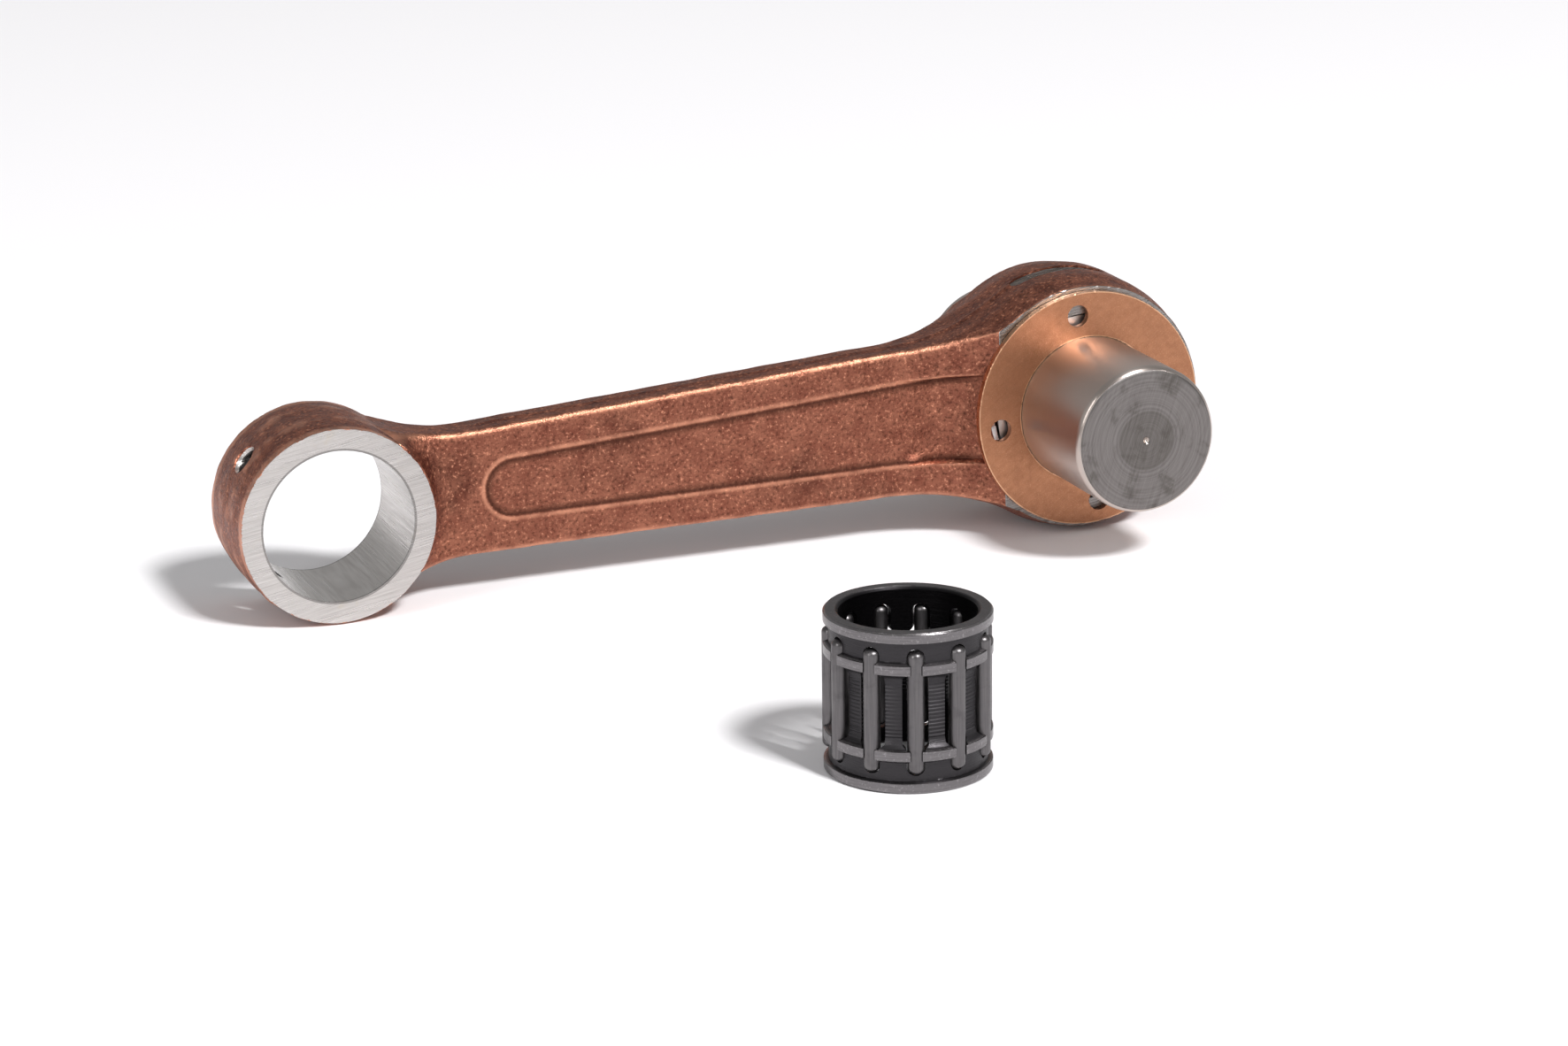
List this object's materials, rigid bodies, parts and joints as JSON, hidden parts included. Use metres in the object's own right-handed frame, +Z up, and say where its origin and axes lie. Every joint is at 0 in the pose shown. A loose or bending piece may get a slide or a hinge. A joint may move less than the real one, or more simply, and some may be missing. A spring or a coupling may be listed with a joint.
{
  "type": "connecting rod",
  "caption": "Forged two-stroke connecting rod with crankpin, caged roller big end and thrust washers, and its small-end needle bearing standing beside it.",
  "frame": {"origin": "middle of the set's box, on the surface that the rod and the bearing stand on", "axes": "+X along the rod from the small end to the big end (level; the rod itself rises 2.4 degrees), +Y along both bores towards the back, +Z up"},
  "size_m": [0.1356, 0.1194, 0.0352],
  "materials": {
    "copper_plate": "copper-plated forged steel, matt and grainy, brighter on worn edges",
    "ground_steel": "ground and polished bearing steel",
    "bronze": "satin bronze",
    "cage_steel": "dark hardened steel",
    "needle_steel": "polished bearing steel"
  },
  "bodies": {
    "rod": {"rod": "copper_plate"},
    "crankpin": {"crankpin": "ground_steel"},
    "big_end_cage": {"big_end_cage": "cage_steel"},
    "thrust_washer_front": {"thrust_washer_front": "bronze"},
    "thrust_washer_back": {"thrust_washer_back": "bronze"},
    "needle_cage": {"needle_cage": "cage_steel"},
    "big_end_roller_01": {"big_end_roller_01": "needle_steel"},
    "big_end_roller_02": {"big_end_roller_02": "needle_steel"},
    "big_end_roller_03": {"big_end_roller_03": "needle_steel"},
    "big_end_roller_04": {"big_end_roller_04": "needle_steel"},
    "big_end_roller_05": {"big_end_roller_05": "needle_steel"},
    "big_end_roller_06": {"big_end_roller_06": "needle_steel"},
    "big_end_roller_07": {"big_end_roller_07": "needle_steel"},
    "big_end_roller_08": {"big_end_roller_08": "needle_steel"},
    "big_end_roller_09": {"big_end_roller_09": "needle_steel"},
    "big_end_roller_10": {"big_end_roller_10": "needle_steel"},
    "big_end_roller_11": {"big_end_roller_11": "needle_steel"},
    "big_end_roller_12": {"big_end_roller_12": "needle_steel"},
    "big_end_roller_13": {"big_end_roller_13": "needle_steel"},
    "big_end_roller_14": {"big_end_roller_14": "needle_steel"},
    "needle_01": {"needle_01": "needle_steel"},
    "needle_02": {"needle_02": "needle_steel"},
    "needle_03": {"needle_03": "needle_steel"},
    "needle_04": {"needle_04": "needle_steel"},
    "needle_05": {"needle_05": "needle_steel"},
    "needle_06": {"needle_06": "needle_steel"},
    "needle_07": {"needle_07": "needle_steel"},
    "needle_08": {"needle_08": "needle_steel"},
    "needle_09": {"needle_09": "needle_steel"},
    "needle_10": {"needle_10": "needle_steel"},
    "needle_11": {"needle_11": "needle_steel"}
  },
  "joints": [
    {"name": "crankpin_turn", "type": "hinge", "parent": "rod", "child": "crankpin", "pos_m": [0.05022, 0.03558, 0.0176], "axis": [0, 1, 0], "continuous": true},
    {"name": "big_end_cage_turn", "type": "hinge", "parent": "rod", "child": "big_end_cage", "pos_m": [0.05022, 0.03558, 0.0176], "axis": [0, 1, 0], "continuous": true},
    {"name": "front_washer_turn", "type": "hinge", "parent": "rod", "child": "thrust_washer_front", "pos_m": [0.05022, 0.03558, 0.0176], "axis": [0, 1, 0], "continuous": true},
    {"name": "back_washer_turn", "type": "hinge", "parent": "rod", "child": "thrust_washer_back", "pos_m": [0.05022, 0.03558, 0.0176], "axis": [0, 1, 0], "continuous": true},
    {"name": "roller_01_turn", "type": "hinge", "parent": "big_end_cage", "child": "big_end_roller_01", "pos_m": [0.06171, 0.03558, 0.01809], "axis": [0, 1, 0], "continuous": true},
    {"name": "roller_02_turn", "type": "hinge", "parent": "big_end_cage", "child": "big_end_roller_02", "pos_m": [0.06036, 0.03558, 0.02303], "axis": [0, 1, 0], "continuous": true},
    {"name": "roller_03_turn", "type": "hinge", "parent": "big_end_cage", "child": "big_end_roller_03", "pos_m": [0.057, 0.03558, 0.02689], "axis": [0, 1, 0], "continuous": true},
    {"name": "roller_04_turn", "type": "hinge", "parent": "big_end_cage", "child": "big_end_roller_04", "pos_m": [0.0523, 0.03558, 0.02891], "axis": [0, 1, 0], "continuous": true},
    {"name": "roller_05_turn", "type": "hinge", "parent": "big_end_cage", "child": "big_end_roller_05", "pos_m": [0.04718, 0.03558, 0.02869], "axis": [0, 1, 0], "continuous": true},
    {"name": "roller_06_turn", "type": "hinge", "parent": "big_end_cage", "child": "big_end_roller_06", "pos_m": [0.04267, 0.03558, 0.02628], "axis": [0, 1, 0], "continuous": true},
    {"name": "roller_07_turn", "type": "hinge", "parent": "big_end_cage", "child": "big_end_roller_07", "pos_m": [0.03965, 0.03558, 0.02214], "axis": [0, 1, 0], "continuous": true},
    {"name": "roller_08_turn", "type": "hinge", "parent": "big_end_cage", "child": "big_end_roller_08", "pos_m": [0.03873, 0.03558, 0.01711], "axis": [0, 1, 0], "continuous": true},
    {"name": "roller_09_turn", "type": "hinge", "parent": "big_end_cage", "child": "big_end_roller_09", "pos_m": [0.04008, 0.03558, 0.01217], "axis": [0, 1, 0], "continuous": true},
    {"name": "roller_10_turn", "type": "hinge", "parent": "big_end_cage", "child": "big_end_roller_10", "pos_m": [0.04344, 0.03558, 0.00831], "axis": [0, 1, 0], "continuous": true},
    {"name": "roller_11_turn", "type": "hinge", "parent": "big_end_cage", "child": "big_end_roller_11", "pos_m": [0.04814, 0.03558, 0.00629], "axis": [0, 1, 0], "continuous": true},
    {"name": "roller_12_turn", "type": "hinge", "parent": "big_end_cage", "child": "big_end_roller_12", "pos_m": [0.05325, 0.03558, 0.00651], "axis": [0, 1, 0], "continuous": true},
    {"name": "roller_13_turn", "type": "hinge", "parent": "big_end_cage", "child": "big_end_roller_13", "pos_m": [0.05776, 0.03558, 0.00892], "axis": [0, 1, 0], "continuous": true},
    {"name": "roller_14_turn", "type": "hinge", "parent": "big_end_cage", "child": "big_end_roller_14", "pos_m": [0.06078, 0.03558, 0.01306], "axis": [0, 1, 0], "continuous": true},
    {"name": "needle_bearing_lift", "type": "slide", "parent": "rod", "child": "needle_cage", "axis": [0, 0, 1], "range_m": [0, 0.06]},
    {"name": "needle_01_turn", "type": "hinge", "parent": "needle_cage", "child": "needle_01", "pos_m": [-0.01171, -0.0584, 0.00965], "axis": [0, 0, 1], "continuous": true},
    {"name": "needle_02_turn", "type": "hinge", "parent": "needle_cage", "child": "needle_02", "pos_m": [-0.01591, -0.05557, 0.00965], "axis": [0, 0, 1], "continuous": true},
    {"name": "needle_03_turn", "type": "hinge", "parent": "needle_cage", "child": "needle_03", "pos_m": [-0.01792, -0.05091, 0.00965], "axis": [0, 0, 1], "continuous": true},
    {"name": "needle_04_turn", "type": "hinge", "parent": "needle_cage", "child": "needle_04", "pos_m": [-0.01709, -0.04591, 0.00965], "axis": [0, 0, 1], "continuous": true},
    {"name": "needle_05_turn", "type": "hinge", "parent": "needle_cage", "child": "needle_05", "pos_m": [-0.01369, -0.04215, 0.00965], "axis": [0, 0, 1], "continuous": true},
    {"name": "needle_06_turn", "type": "hinge", "parent": "needle_cage", "child": "needle_06", "pos_m": [-0.00879, -0.04083, 0.00965], "axis": [0, 0, 1], "continuous": true},
    {"name": "needle_07_turn", "type": "hinge", "parent": "needle_cage", "child": "needle_07", "pos_m": [-0.00396, -0.04236, 0.00965], "axis": [0, 0, 1], "continuous": true},
    {"name": "needle_08_turn", "type": "hinge", "parent": "needle_cage", "child": "needle_08", "pos_m": [-0.00072, -0.04626, 0.00965], "axis": [0, 0, 1], "continuous": true},
    {"name": "needle_09_turn", "type": "hinge", "parent": "needle_cage", "child": "needle_09", "pos_m": [-0.00011, -0.0513, 0.00965], "axis": [0, 0, 1], "continuous": true},
    {"name": "needle_10_turn", "type": "hinge", "parent": "needle_cage", "child": "needle_10", "pos_m": [-0.00231, -0.05586, 0.00965], "axis": [0, 0, 1], "continuous": true},
    {"name": "needle_11_turn", "type": "hinge", "parent": "needle_cage", "child": "needle_11", "pos_m": [-0.00664, -0.05851, 0.00965], "axis": [0, 0, 1], "continuous": true}
  ],
  "couplings": [
    {"joint": "big_end_cage_turn", "follows": "crankpin_turn", "ratio": 0.43478},
    {"joint": "roller_01_turn", "follows": "crankpin_turn", "ratio": -3.7681},
    {"joint": "roller_02_turn", "follows": "crankpin_turn", "ratio": -3.7681},
    {"joint": "roller_03_turn", "follows": "crankpin_turn", "ratio": -3.7681},
    {"joint": "roller_04_turn", "follows": "crankpin_turn", "ratio": -3.7681},
    {"joint": "roller_05_turn", "follows": "crankpin_turn", "ratio": -3.7681},
    {"joint": "roller_06_turn", "follows": "crankpin_turn", "ratio": -3.7681},
    {"joint": "roller_07_turn", "follows": "crankpin_turn", "ratio": -3.7681},
    {"joint": "roller_08_turn", "follows": "crankpin_turn", "ratio": -3.7681},
    {"joint": "roller_09_turn", "follows": "crankpin_turn", "ratio": -3.7681},
    {"joint": "roller_10_turn", "follows": "crankpin_turn", "ratio": -3.7681},
    {"joint": "roller_11_turn", "follows": "crankpin_turn", "ratio": -3.7681},
    {"joint": "roller_12_turn", "follows": "crankpin_turn", "ratio": -3.7681},
    {"joint": "roller_13_turn", "follows": "crankpin_turn", "ratio": -3.7681},
    {"joint": "roller_14_turn", "follows": "crankpin_turn", "ratio": -3.7681},
    {"joint": "needle_02_turn", "follows": "needle_01_turn", "ratio": 1},
    {"joint": "needle_03_turn", "follows": "needle_01_turn", "ratio": 1},
    {"joint": "needle_04_turn", "follows": "needle_01_turn", "ratio": 1},
    {"joint": "needle_05_turn", "follows": "needle_01_turn", "ratio": 1},
    {"joint": "needle_06_turn", "follows": "needle_01_turn", "ratio": 1},
    {"joint": "needle_07_turn", "follows": "needle_01_turn", "ratio": 1},
    {"joint": "needle_08_turn", "follows": "needle_01_turn", "ratio": 1},
    {"joint": "needle_09_turn", "follows": "needle_01_turn", "ratio": 1},
    {"joint": "needle_10_turn", "follows": "needle_01_turn", "ratio": 1},
    {"joint": "needle_11_turn", "follows": "needle_01_turn", "ratio": 1}
  ]
}
